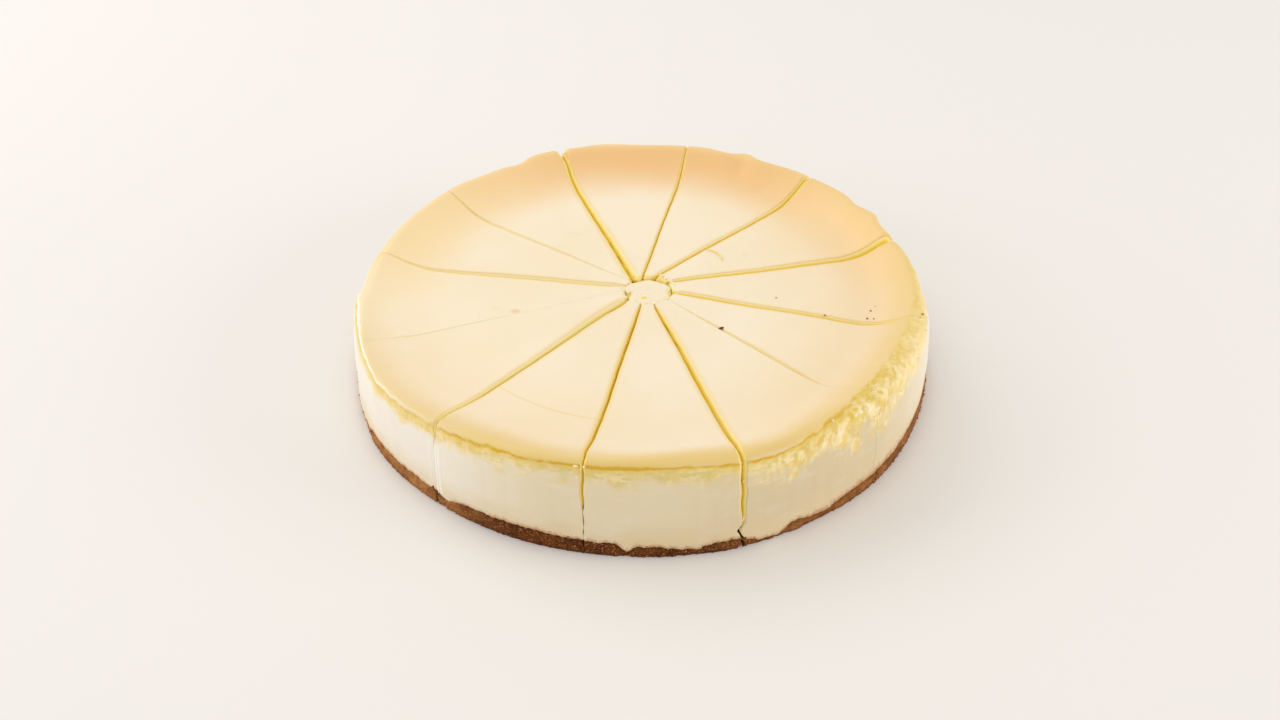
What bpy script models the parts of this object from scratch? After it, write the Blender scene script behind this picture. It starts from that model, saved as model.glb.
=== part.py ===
"""Baked cheesecake, 24 cm across, cut into twelve slices round a small plug at its hub.

Every slice is two solids: the cream cheese filling, whose dished top rises to a rounded lip, and the
pressed crumb base under it. The plug that the knife left at the hub is two solids in the same way.
Metres and degrees, +Z up. The origin is at the centre of the underside.
"""
import math

import bmesh
import bpy
from mathutils import Matrix, Vector

# The whole cake
WALL_RADIUS = 0.1200        # the filling's wall at mid height
FLAT_HEIGHT = 0.0338        # the level middle of the top
LIP_RADIUS = 0.1124         # the crest of the raised rim
LIP_HEIGHT = 0.0426
DISH_RADIUS = 0.0860        # where the level middle starts to rise to the lip
BASE_HEIGHT = 0.0052        # the crumb base
BASE_RADIUS = 0.1208
LEDGE_RADIUS = 0.1120       # outside this the seam between filling and base wanders
LAYER_GAP = 0.0003          # filling to base

# The rim isn't level or round: one side slumped in the oven, and the lip swells or is torn back in places
FRONT_LIFT = 0.0007
SLUMP_ANGLE = 207
SLUMP_SPREAD = 38
SLUMP_DROP = 0.0058
LIP_SWELLS = (              # how far outwards, at which angle, and how widely
    (0.0052, 214, 26),
    (0.0032, -98, 16),
    (0.0024, -64, 9),
    (-0.0010, -30, 14),
    (-0.0010, 3, 8),
    (-0.0023, 19, 12),
    (-0.0008, 20, 6),
    (0.0013, 25.2, 2.2),
    (-0.0015, 31.5, 3.2),
    (-0.0020, 52, 13),
    (-0.0011, 60, 5),
    (0.0018, 64.3, 2.3),
    (-0.0015, 69, 3.5),
    (-0.0018, 88, 12),
    (-0.0008, 105, 4),
    (-0.0014, 112, 7),
    (-0.0024, 120.5, 3),
    (-0.0022, 129, 8),
    (-0.0019, 142, 22),
    (-0.0014, 166, 7),
    (-0.0012, 178, 5.5),
)
SHOULDER_INSET = 0.0028     # how far the lip's outer edge stands back from the wall, round the back

# Where the filling ran down over the base's edge: how far, at which angle, and how widely
RUNS_DOWN = (
    (0.0030, -67, 4),
    (0.0024, -56, 4),
    (0.0024, -92, 3),
    (0.0018, -80, 3),
    (0.0016, -129, 3),
    (0.0027, -166, 9),
)

# The hub, where the cuts meet, is a little off the middle
HUB = Vector((0.0026, 0.0038))
HUB_RADIUS = 0.0098
PLUG_RADIUS = 0.0084
PLUG_HEIGHT = 0.0344
PLUG_SIDES = 28

# Each cut: its angle at the rim, its angle on the hub's ring, and its width
CUTS = (
    (109.5, 127.2, 0.0017),
    (79.0, 105.4, 0.0007),
    (47.0, 77.4, 0.0007),
    (15.9, 37.2, 0.0014),
    (-13.8, -7.7, 0.0010),
    (-42.0, -40.8, 0.0004),
    (-71.6, -78.0, 0.0019),
    (-100.8, -108.1, 0.0014),
    (-131.8, -145.6, 0.0011),
    (-161.6, -178.6, 0.0004),
    (-190.7, -197.9, 0.0008),
    (-218.5, -222.1, 0.0004),
)
STEPS = 10                  # stations across one slice
DISH_STEPS = 9              # and up the inner slope of the lip
CORNER_DROP = 0.45          # how far a slice's lip sinks at a cut, as a share of the cut's width
CORNER_SPREAD = 1.6

FILLING_COLOUR = (0.93, 0.80, 0.55, 1)
BASE_COLOUR = (0.20, 0.085, 0.035, 1)


def bump(angle, centre, spread):
    """1 at the centre angle, falling smoothly to 0 within about two spreads."""
    away = (angle - centre + 180) % 360 - 180
    return math.exp(-((away / spread) ** 2))


def wave(angle, lobes, phase):
    return math.sin(math.radians(lobes * angle + phase))


def ease(x):
    x = min(max(x, 0), 1)
    return x * x * (3 - 2 * x)


def lip_height(angle):
    slump = SLUMP_DROP * bump(angle, SLUMP_ANGLE, SLUMP_SPREAD)
    corner = sum(CORNER_DROP * width * bump(angle, rim, CORNER_SPREAD) for rim, _, width in CUTS)
    ripple = 0.0003 * wave(angle, 7, 40) + 0.0002 * wave(angle, 13, 110)
    return LIP_HEIGHT - FRONT_LIFT * wave(angle, 1, 0) - slump - corner + ripple


def lip_radius(angle):
    return LIP_RADIUS + sum(size * bump(angle, at, spread) for size, at, spread in LIP_SWELLS)


def shoulder_inset(angle):
    """Nothing at the front, growing past each side to its full size round the back."""
    return SHOULDER_INSET * ease((wave(angle, 1, 15) + 0.25) / 0.5)


def base_height(angle):
    """The seam's height at the wall: it wanders, and the filling ran down over it in places."""
    ran_down = sum(drop * bump(angle, at, spread) for drop, at, spread in RUNS_DOWN)
    return BASE_HEIGHT + 0.0006 * wave(angle, 4, 20) + 0.0003 * wave(angle, 9, 75) - ran_down


def outline(angle):
    """A cake is never quite round: how much its wall stands out at this angle."""
    return 0.0004 * wave(angle, 4, 15) + 0.0002 * wave(angle, 10, 130)


def toward(degrees):
    turn = math.radians(degrees)
    return Vector((math.cos(turn), math.sin(turn)))


def centre_at(share):
    """The rings of a slice centre on the hub inside and on the cake outside."""
    return HUB * (1 - share)


def cut_direction(cut, share):
    """The direction, from the ring's centre, of a straight cut at this share of its length."""
    rim, hub, _ = CUTS[cut % len(CUTS)]
    way = toward(hub) * HUB_RADIUS * (1 - share) + toward(rim) * WALL_RADIUS * share
    return math.degrees(math.atan2(way.y, way.x))


def half_gap(cut, radius):
    """Half the cut's width as an angle, so that the cut is as wide all along."""
    return math.degrees(CUTS[cut % len(CUTS)][2] / 2 / radius)


def slice_point(number, radius, turn, height):
    """Places a point of the nominal wedge, with turn from 0 to 1 across it, in slice number."""
    share = (radius - HUB_RADIUS) / (WALL_RADIUS - HUB_RADIUS)
    start = cut_direction(number, share)
    sweep = (start - cut_direction(number + 1, share)) % 360
    near_gap = half_gap(number, radius)
    far_gap = half_gap(number + 1, radius)
    angle = start - near_gap - turn * (sweep - near_gap - far_gap)

    if radius > LEDGE_RADIUS and height <= BASE_HEIGHT + LAYER_GAP and height > BASE_HEIGHT / 2:
        height += (base_height(angle) - BASE_HEIGHT) * ease((radius - LEDGE_RADIUS) / 0.007)
    if height > FLAT_HEIGHT:
        lift = (lip_height(angle) - FLAT_HEIGHT) / (LIP_HEIGHT - FLAT_HEIGHT)
        height = FLAT_HEIGHT + (height - FLAT_HEIGHT) * lift
        shoulder = WALL_RADIUS - shoulder_inset(angle)
        if radius > LIP_RADIUS:
            narrowed = (shoulder - lip_radius(angle)) / (WALL_RADIUS - LIP_RADIUS)
            radius = shoulder - (WALL_RADIUS - radius) * narrowed
        else:
            reach = (lip_radius(angle) - DISH_RADIUS) / (LIP_RADIUS - DISH_RADIUS)
            radius = DISH_RADIUS + (radius - DISH_RADIUS) * reach
    radius += outline(angle) * ease((radius - DISH_RADIUS) / (WALL_RADIUS - DISH_RADIUS))
    place = centre_at(share) + toward(angle) * radius
    return Vector((place.x, place.y, height))


def filling_profile():
    """The filling's section, as (radius, height), from the hub over the top and down the wall."""
    floor = BASE_HEIGHT + LAYER_GAP
    top = [(HUB_RADIUS, FLAT_HEIGHT - 0.0012), (HUB_RADIUS + 0.0012, FLAT_HEIGHT - 0.0002)]
    top += [(0.030, FLAT_HEIGHT), (0.060, FLAT_HEIGHT)]
    dish = []
    for step in range(DISH_STEPS):
        part = step / DISH_STEPS
        rise = (LIP_HEIGHT - FLAT_HEIGHT) * (1 - (1 - part ** 2.4) ** 1.3)
        dish.append((DISH_RADIUS + (LIP_RADIUS - DISH_RADIUS) * part, FLAT_HEIGHT + rise))
    lip = [(LIP_RADIUS, LIP_HEIGHT), (LIP_RADIUS + 0.0026, LIP_HEIGHT - 0.0006),
           (LIP_RADIUS + 0.0045, LIP_HEIGHT - 0.0022)]
    crease = [(WALL_RADIUS - 0.0028, LIP_HEIGHT - 0.0042), (WALL_RADIUS - 0.0014, LIP_HEIGHT - 0.0066)]
    wall = [(WALL_RADIUS - 0.0004, 0.0290), (WALL_RADIUS, 0.0190), (WALL_RADIUS + 0.0002, floor + 0.0030)]
    return top + dish + lip + crease + wall + [(WALL_RADIUS, floor), (LEDGE_RADIUS, floor), (HUB_RADIUS, floor)]


def base_profile():
    return [(HUB_RADIUS, BASE_HEIGHT), (LEDGE_RADIUS, BASE_HEIGHT), (WALL_RADIUS, BASE_HEIGHT),
            (BASE_RADIUS, BASE_HEIGHT * 0.45), (BASE_RADIUS - 0.0008, 0), (HUB_RADIUS, 0)]


def finish(name, mesh_data, colour, roughness):
    bmesh.ops.recalc_face_normals(mesh_data, faces=mesh_data.faces)
    if mesh_data.calc_volume(signed=True) < 0:
        bmesh.ops.reverse_faces(mesh_data, faces=mesh_data.faces)
    mesh = bpy.data.meshes.new(name)
    mesh_data.to_mesh(mesh)
    mesh_data.free()
    mesh.shade_smooth()
    mesh.set_sharp_from_angle(angle=math.radians(40))
    mesh.materials.append(material(name + "_finish", colour, roughness))
    piece = bpy.data.objects.new(name, mesh)
    bpy.context.collection.objects.link(piece)
    return piece


def material(name, colour, roughness):
    made = bpy.data.materials.new(name)
    made.use_nodes = True
    shader = made.node_tree.nodes["Principled BSDF"]
    shader.inputs["Base Color"].default_value = colour
    shader.inputs["Roughness"].default_value = roughness
    shader.inputs["Metallic"].default_value = 0
    return made


def spun_wedge(profile, number):
    """Spins a closed section through a nominal slice, then moves every point to its place in slice number.

    The base's top and the filling's floor are split into triangles the same way, so they never touch.
    """
    wedge = bmesh.new()
    corners = [wedge.verts.new((radius, 0, height)) for radius, height in profile]
    section = wedge.faces.new(corners)
    nominal = math.radians(-30)
    bmesh.ops.spin(wedge, geom=[section], cent=(0, 0, 0), axis=(0, 0, 1), angle=nominal, steps=STEPS)
    for vert in wedge.verts:
        turn = math.atan2(vert.co.y, vert.co.x) / nominal
        vert.co = slice_point(number, vert.co.xy.length, turn, vert.co.z)
    bmesh.ops.triangulate(wedge, faces=wedge.faces, quad_method="SHORT_EDGE", ngon_method="BEAUTY")
    return wedge


def filling_slice(number):
    wedge = spun_wedge(filling_profile(), number)
    return finish(f"filling_slice_{number + 1:02d}", wedge, FILLING_COLOUR, 0.45)


def base_slice(number):
    wedge = spun_wedge(base_profile(), number)
    return finish(f"base_slice_{number + 1:02d}", wedge, BASE_COLOUR, 0.9)


def plug(name, low, high, colour, roughness):
    """A column at the hub, ragged where the slices were pulled off it."""
    column = bmesh.new()
    at_hub = Matrix.Translation((HUB.x, HUB.y, low))
    bmesh.ops.create_circle(column, cap_ends=True, segments=PLUG_SIDES, radius=PLUG_RADIUS, matrix=at_hub)
    bottom = column.faces[:]
    grown = bmesh.ops.extrude_face_region(column, geom=bottom, use_keep_orig=True)
    top = [part for part in grown["geom"] if isinstance(part, bmesh.types.BMFace)]
    bmesh.ops.translate(column, verts=top[0].verts, vec=(0, 0, high - low))
    bmesh.ops.inset_region(column, faces=top, thickness=0.0012, depth=0.0008)
    for vert in column.verts:
        out = vert.co.xy - HUB
        angle = math.degrees(math.atan2(out.y, out.x))
        ragged = 1 + 0.035 * wave(angle, 3, 50) + 0.030 * wave(angle, 5, 170)
        vert.co.xy = HUB + out * ragged
    return finish(name, column, colour, roughness)


def main():
    for old in list(bpy.data.objects):
        bpy.data.objects.remove(old)
    for number in range(len(CUTS)):
        base_slice(number)
        filling_slice(number)
    plug("base_plug", 0, BASE_HEIGHT, BASE_COLOUR, 0.9)
    plug("filling_plug", BASE_HEIGHT + LAYER_GAP + 0.0008, PLUG_HEIGHT - 0.0008, FILLING_COLOUR, 0.45)


main()
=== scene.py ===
import math

import bmesh
import bpy
import numpy as np
from mathutils import Matrix, Vector, noise


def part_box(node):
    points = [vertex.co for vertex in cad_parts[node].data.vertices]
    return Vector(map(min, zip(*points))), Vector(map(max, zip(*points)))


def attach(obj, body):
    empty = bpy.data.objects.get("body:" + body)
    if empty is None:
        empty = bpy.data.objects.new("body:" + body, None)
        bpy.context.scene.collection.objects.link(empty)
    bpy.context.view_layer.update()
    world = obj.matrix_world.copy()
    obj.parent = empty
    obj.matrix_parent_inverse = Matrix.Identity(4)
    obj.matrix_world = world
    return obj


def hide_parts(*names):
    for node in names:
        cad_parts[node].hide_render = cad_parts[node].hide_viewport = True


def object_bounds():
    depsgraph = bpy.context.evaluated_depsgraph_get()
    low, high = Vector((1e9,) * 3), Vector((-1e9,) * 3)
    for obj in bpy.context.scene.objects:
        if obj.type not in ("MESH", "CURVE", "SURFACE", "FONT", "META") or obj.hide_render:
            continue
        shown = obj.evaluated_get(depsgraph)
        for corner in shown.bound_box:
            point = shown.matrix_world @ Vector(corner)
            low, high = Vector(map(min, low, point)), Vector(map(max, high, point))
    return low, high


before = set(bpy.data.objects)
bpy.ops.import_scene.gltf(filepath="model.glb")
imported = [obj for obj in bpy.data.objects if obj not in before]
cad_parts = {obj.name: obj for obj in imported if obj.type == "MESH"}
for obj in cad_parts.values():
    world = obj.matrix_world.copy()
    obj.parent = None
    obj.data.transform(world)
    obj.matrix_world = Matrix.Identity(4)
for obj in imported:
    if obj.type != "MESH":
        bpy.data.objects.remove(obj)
cadLow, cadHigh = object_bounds()
print("frame loaded, box", [round(v, 4) for v in cadHigh - cadLow])

mm = 0.001
plugLow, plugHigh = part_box("filling_plug")
basePlugLow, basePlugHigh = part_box("base_plug")
hub = np.array(((plugLow.x + plugHigh.x) / 2, (plugLow.y + plugHigh.y) / 2))
baseTop = basePlugHigh.z

# angles are in degrees, counter-clockwise from +X, so the front is at -90; rows of sizes are in mm
cake = {
    "wallRadius": 120.0 * mm,
    "flatHeight": 33.8 * mm,
    "lipRadius": 112.4 * mm,
    "lipHeight": 42.5 * mm,
    "frontLift": 0.7 * mm,
    "dishRadius": 86.0 * mm,
    "creaseRadius": 118.4 * mm,
    "creaseHeight": 39.5 * mm,
    "lipArc": 7.0 * mm,                    # from the lip's top over to the crease
    "hubRadius": 9.8 * mm,
    "slump": (207, 38, 5.8 * mm),          # angle, spread, drop
    # how far the lip swells outwards, where, how widely
    "lipSwells": (
        (5.2, 214, 26), (3.2, -98, 16), (2.4, -64, 9), (-1.0, -30, 14), (-1.0, 3, 8), (-2.3, 19, 12), (-0.8, 20, 6),
        (1.3, 25.2, 2.2), (-1.5, 31.5, 3.2), (-2.0, 52, 13), (-1.1, 60, 5), (1.8, 64.3, 2.3), (-1.5, 69, 3.5),
        (-1.8, 88, 12), (-0.8, 105, 4), (-1.4, 112, 7), (-2.4, 120.5, 3), (-2.2, 129, 8), (-1.9, 142, 22),
        (-1.4, 166, 7), (-1.2, 178, 5.5),
    ),
    # the same for its height
    "lipBumps": (
        (0.4, 114, 5), (-0.4, 122, 5), (0.25, 25.5, 2.5), (-0.4, 33, 3), (0.2, 64, 2), (-0.3, 56, 5), (0.2, 101, 5),
    ),
    # how far the crease stands out past the lip's top at most: steeper round the back
    "creaseGap": ((-180, 4.6), (-168, 9), (-20, 9), (-12, 5.5), (-4, 3.6), (30, 3.4), (50, 4.2), (150, 4.4), (180, 4.6)),
    # the height of the base's top edge on the outside, low where the filling ran down over it
    "seam": (
        (-180, 4.2), (-170, 2.4), (-163, 2.4), (-156, 3.6), (-150, 4.8), (-145, 5.7), (-138, 6.0), (-132, 5.4), (-129, 3.4), (-125, 6.2),
        (-112, 6.6), (-104, 6.2), (-100, 5.7), (-95, 5.4), (-93, 2.3), (-91.5, 4.2), (-86, 4.3), (-80, 2.4),
        (-76, 4.2), (-72, 4.0), (-69, 1.3), (-65, 1.1), (-62, 4.9), (-58, 3.1), (-54, 3.0), (-49, 4.6),
        (-43, 4.8), (-36, 5.4), (-20, 5.7), (8, 4.6), (20, 5.6), (55, 3.8), (75, 5.6), (96, 4.4), (120, 5.8),
        (150, 4.2), (168, 5.5), (175, 5.2), (180, 4.2),
    ),
    # where the baked skin ends, measured over the lip from its top, and how strong its golden edge is
    "skinEdge": (
        (-180, 5.8), (-174, 4.2), (-158, 3.6), (-150, 4.4), (-138, 4.4), (-126, 3.6), (-118, 3.8), (-112, 4.7),
        (-108, 5.4), (-104, 4.6), (-97, 4.6), (-80, 4.8), (-74, 6.4), (-70, 7.0), (-65, 7.2), (-60, 5.5), (-53, 2.0),
        (-44, -0.3), (-30, -1.6), (-14, -1.0), (0, 1.0), (12, 4.0), (40, 6.5), (165, 6.5), (180, 5.8),
    ),
    "goldEdge": (
        (-180, 0.7), (-170, 0.6), (-156, 0.35), (-136, 0.4), (-128, 0.6), (-119, 1), (-64, 1), (-57, 0.8), (-46, 0.5), (-25, 0.35),
        (0, 0.25), (20, 0.4), (150, 0.5), (180, 0.7),
    ),
    # the torn, porous band past the skin's edge: how wide it is, and how crumbly
    "tornBand": (
        (-180, 2.2), (-162, 2.6), (-150, 6), (-138, 8), (-120, 10), (-72, 11.5), (-60, 16), (-52, 22), (-40, 25),
        (-30, 23), (-22, 18), (-8, 11), (6, 5), (30, 5), (90, 7), (150, 4), (180, 2.2),
    ),
    "crumbly": (
        (-180, 0.3), (-152, 0.7), (-122, 0.65), (-106, 0.12), (-75, 0.2), (-60, 0.85), (-10, 1), (10, 0.6), (60, 0.2), (180, 0.3),
    ),
    # how high crumbs of the base stain the filling above the seam
    "stain": (
        (-180, 0.9), (-150, 1.8), (-100, 2.0), (-62, 1.9), (-55, 3.0), (-40, 4.0), (-24, 3.0), (-8, 1.3), (180, 0.9),
    ),
    # how strongly the skin is tanned towards its edge
    "rimTan": (
        (-180, 0.1), (-150, 0.5), (-120, 0.9), (-65, 1), (-50, 0.6), (-10, 0.6), (60, 0.4), (120, 0.2), (180, 0.1),
    ),
    # around the hub: where the ring between the plug and the slices lies open, and how far its far edge crumbled
    "ringOpen": (
        (-180, 0.1), (-172, 0.6), (-160, 1), (-148, 0.6), (-138, 0.1), (-118, 0), (-38, 0), (-24, 0.7), (-12, 1),
        (2, 0.8), (12, 0.5), (28, 0.7), (50, 1), (100, 0.95), (128, 1), (146, 0.5), (165, 0.15), (180, 0.1),
    ),
    "ringWide": (
        (-180, 0.5), (-168, 1.2), (-158, 1.8), (-146, 0.9), (-130, 0.5), (-30, 0.6), (-14, 1.5), (6, 1.0), (35, 1.2),
        (60, 1.6), (90, 1.5), (122, 2.3), (140, 1.2), (160, 0.5), (180, 0.5),
    ),
}

# each cut: its angle at the rim and on the hub's ring, its width at some radii over the top and at some
# heights down the side, how deep it is for its width at some heights, and the rounding of its notch in the lip
cuts = (
    {"rim": 109.5, "hub": 127.2, "top": ((10, 4.4), (16, 4.7), (30, 4.1), (60, 3.6), (90, 3.2), (113, 2.9)),
     "side": ((0, .5), (30, .8), (40, 1.8)), "depth": ((5, 3), (9, .33)), "notch": 2.6},
    {"rim": 79.0, "hub": 105.4, "top": ((10, 1.9), (30, 1.6), (60, 1.6), (90, 1.9), (104, 1.7), (113, 1.0)),
     "side": ((0, .3), (36, .3), (42, .6)), "depth": ((5, 3), (9, .42)), "notch": 0.6, "shade": 0.8},
    {"rim": 47.0, "hub": 77.4, "top": ((10, 2.4), (20, 2.2), (50, 2.3), (75, 2.1), (95, 2.8), (113, 2.4)),
     "side": ((0, .3), (34, .4), (42, 1.2)), "depth": ((5, 3), (9, .36)), "notch": 1.0},
    {"rim": 15.9, "hub": 37.2, "top": ((10, 1.4), (14, 2.5), (30, 2.7), (60, 3.1), (90, 3.6), (102, 4.6), (113, 5.4)),
     "side": ((0, .5), (30, .8), (40, 3.0)), "depth": ((5, 3), (9, .36)), "notch": 1.2},
    {"rim": -13.8, "hub": -7.7, "top": ((10, 1.4), (14, 2.6), (30, 2.7), (60, 2.3), (80, 2.5), (95, 2.1), (104, 1.4),
                                        (110, .2)),
     "side": ((0, .3), (42, .04)), "depth": ((5, 3), (9, .38)), "notch": 0},
    {"rim": -42.0, "hub": -40.8, "top": ((10, .1), (16, .3), (30, .9), (60, 1.5), (84, 1.4), (93, .5), (97, .02)),
     "side": ((0, .2), (42, .02)), "depth": ((5, 3), (9, .45)), "notch": 0, "shade": 0.45},
    {"rim": -71.6, "hub": -78.0, "top": ((10, .6), (14, 1.9), (30, 3.0), (60, 3.3), (90, 3.1), (113, 2.9)),
     "side": ((0, 2.4), (3, 1.6), (5.5, .8), (8, 1.5), (10.5, .9), (13, 1.6), (17, 2.3), (40, 2.9)),
     "depth": ((6, 4), (10, 1.6), (14, .5)), "notch": 0.6,
     "jog": ((20, .2), (45, .8), (95, 1.0), (106, .3), (114, -1.3))},
    {"rim": -100.8, "hub": -108.1, "top": ((10, .8), (14, 1.8), (35, 2.4), (90, 2.2), (113, 1.9)),
     "side": ((0, .6), (3, .1), (5, .5), (8, .06), (10, .5), (12.5, .06), (15, .5), (18, .4), (20, .1), (22, .9),
              (25, 1.6), (40, 2.1)),
     "depth": ((20, 4), (23, .6)), "notch": 0.4, "jog": ((75, -.1), (90, -.4), (106, -.5), (114, 1.0))},
    {"rim": -131.8, "hub": -145.6, "top": ((10, 3.1), (16, 4.3), (30, 3.7), (50, 3.1), (75, 2.6), (100, 2.2), (113, 1.7)),
     "side": ((0, 1.5), (5, 1.1), (7, .1), (27, .12), (33, .8), (38, 1.4)), "depth": ((5, 5), (8, .36)), "notch": 0.5,
     "jog": ((12, -.6), (30, -1.0), (45, -.5), (90, -.4), (104, -.2), (110, .6), (116, 2.4)), "shade": 0.6},
    {"rim": -161.6, "hub": -178.6, "top": ((10, .03), (55, .03), (70, .35), (100, .35), (112, .05)),
     "side": ((0, .2), (30, .02)), "depth": ((5, 3), (9, .5)), "notch": 0},
    {"rim": -190.7, "hub": -197.9, "top": ((10, 1.3), (16, 2.6), (60, 2.5), (75, 2.1), (90, 1.8), (100, 1.2), (110, .5)),
     "side": ((0, .3), (32, .1)), "depth": ((5, 3), (9, .4)), "notch": 0, "shade": 0.5},
    {"rim": -218.5, "hub": -222.1, "top": ((10, .15), (30, .8), (50, 1.2), (90, 1.2), (104, .9), (112, .1)),
     "side": ((0, .2), (38, .03)), "depth": ((5, 3), (9, .45)), "notch": 0, "shade": 0.35},
)

def bump(angle, centre, spread):
    away = (angle - centre + 180) % 360 - 180
    return np.exp(-((away / spread) ** 2))


def wave(angle, lobes, phase):
    return np.sin(np.radians(lobes * angle + phase))


def ease(x, low=0.0, high=1.0):
    part = np.clip((x - low) / (high - low), 0, 1)
    return part * part * (3 - 2 * part)


def along(angle, rows):
    # a value read off rows of angle and value
    return np.interp((angle + 180) % 360 - 180, *zip(*rows))


def swells(angle, rows):
    return sum(size * mm * bump(angle, at, spread) for size, at, spread in rows)


def roughAround(size, seed):
    # smooth noise from about -1 to 1 round the wall, in lumps of about that size
    turns = np.arange(0, 360, 0.1)
    reach = cake["wallRadius"] / size
    rough = [2 * noise.noise(Vector((math.cos(a) * reach, math.sin(a) * reach, seed))) for a in np.radians(turns)]
    return lambda angle: np.interp(angle % 360, turns, rough, period=360)


roughLarge, roughMid = roughAround(14 * mm, 0.5), roughAround(5 * mm, 7.5)
roughSmall, roughTiny = roughAround(1.8 * mm, 3.5), roughAround(0.8 * mm, 5.5)


def noiseAt(places, size, seed=0.0):
    # the same in space
    shift = Vector((seed, seed * 1.7, -seed))
    return np.array([2 * noise.noise(Vector(place) / size + shift) for place in places])


def lipHeight(angle):
    at, spread, drop = cake["slump"]
    level = cake["lipHeight"] - cake["frontLift"] * wave(angle, 1, 0)
    ripple = 0.0003 * wave(angle, 7, 40) + 0.0002 * wave(angle, 13, 110)
    return level - drop * bump(angle, at, spread) + ripple + swells(angle, cake["lipBumps"])


def lipRadius(angle):
    return cake["lipRadius"] + swells(angle, cake["lipSwells"])


def dishRise(part):
    # the inner slope, from the level middle at 0 to the lip's top at 1
    return 1 - (1 - part ** 2.4) ** 1.3


def creaseHeight(angle):
    # where the side begins under the lip, lower on the slumped side
    return lipHeight(angle) - 3.0 * mm - 2.4 * mm * bump(angle, 212, 30) + 0.35 * mm * wave(angle, 9, 0)


def seamHeight(angle):
    ragged = 0.25 * roughMid(angle + 40) + 0.3 * roughSmall(angle) + 0.14 * roughTiny(angle)
    return np.maximum(along(angle, cake["seam"]) + ragged, 0.8) * mm


def outline(angle):
    return 0.0004 * wave(angle, 4, 15) + 0.0002 * wave(angle, 10, 130)


def cutDirection(cut, share):
    # the direction of a straight cut, from the centre of the ring at that share of its length
    row = cuts[cut % len(cuts)]
    inner, outer = math.radians(row["hub"]), math.radians(row["rim"])
    x = math.cos(inner) * cake["hubRadius"] * (1 - share) + math.cos(outer) * cake["wallRadius"] * share
    y = math.sin(inner) * cake["hubRadius"] * (1 - share) + math.sin(outer) * cake["wallRadius"] * share
    return np.degrees(np.arctan2(y, x))


def cutWidth(cut, radius, height, side):
    row = cuts[cut % len(cuts)]
    overTop = np.interp(radius / mm, *zip(*row["top"]))
    downSide = np.interp(height / mm, *zip(*row["side"]))
    return (overTop * (1 - side) + downSide * side) * mm


def cutOpening(cut, width, below, height):
    # the soft filling closes again under the surface, in a groove about as deep as it is wide
    deep = np.interp(height / mm, *zip(*cuts[cut % len(cuts)]["depth"]))
    return np.clip(1 - below / (width * deep + 1e-9), 0.03, 1)


def cutWander(cut, radius, height, side):
    # a knife never runs quite straight, and one cut tore in a zigzag low on the side
    turn = cut % len(cuts)
    drift = 0.12 * mm * np.sin(radius / mm * 0.11 + turn * 1.7) + 0.05 * mm * np.sin(radius / mm * 0.53 + turn * 2.9)
    drift = drift + side * 0.16 * mm * np.sin(height / mm * 0.55 + turn)
    drift = drift + np.interp(radius / mm, *zip(*cuts[turn].get("jog", ((0, 0),)))) * mm
    if turn == 6:
        torn = np.interp(height / mm, (0, 2.5, 5, 8, 11.5, 14, 44), (-.5, .9, .1, -1.1, .9, .5, 0)) * mm
        drift = drift + side * torn
    if turn == 7:
        drift = drift + side * np.interp(height / mm, (0, 4, 12, 17, 26, 44), (.5, .2, 0, .3, -.2, 0)) * mm
    return drift * ease(radius, 10 * mm, 22 * mm)


def spinWedge(section, columns):
    # one nominal slice of 30 degrees; each point knows its place in the section and its turn across
    nominal = math.radians(-30)
    bmesh.ops.spin(section, geom=section.faces[:], cent=(0, 0, 0), axis=(0, 0, 1), angle=nominal, steps=columns)
    turnLayer = section.verts.layers.float.new("turn")
    depth = section.verts.layers.float["depth"]
    atCut = set()
    for vert in section.verts:
        vert[turnLayer] = math.atan2(vert.co.y, vert.co.x) / nominal
        if abs(vert[turnLayer] - 0.5) > 0.4999 and vert[depth] == 0:
            atCut.add(vert)
    for face in section.faces:
        face.smooth = True
    for vert in atCut:
        for edge in vert.link_edges:
            edge.smooth = edge.other_vert(vert) not in atCut
    bmesh.ops.recalc_face_normals(section, faces=section.faces)
    return section


def stretch(first, last, count, ends=False):
    steps = count + 1 if ends else count
    return [(first[0] + (last[0] - first[0]) * i / count, first[1] + (last[1] - first[1]) * i / count)
            for i in range(steps)]


def readFloat(mesh, name):
    values = np.zeros(len(mesh.vertices), np.float32)
    mesh.attributes[name].data.foreach_get("value", values)
    return values.astype(float)


def writeFloat(mesh, name, values):
    layer = mesh.attributes.get(name) or mesh.attributes.new(name, "FLOAT", "POINT")
    layer.data.foreach_set("value", np.asarray(values, np.float32))


def keepInBox(spots):
    inset = 0.04 * mm
    low, high = np.array(cadLow), np.array(cadHigh)
    return np.clip(spots, low + (inset, inset, 0), high - inset)


def placeRound(angle, radius, height):
    # into the frame, from the hub's own centre out to the cake's centre at the wall
    share = (radius - cake["hubRadius"]) / (cake["wallRadius"] - cake["hubRadius"])
    rad = np.radians(angle)
    return np.stack((hub[0] * (1 - share) + np.cos(rad) * radius, hub[1] * (1 - share) + np.sin(rad) * radius, height), 1)


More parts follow.
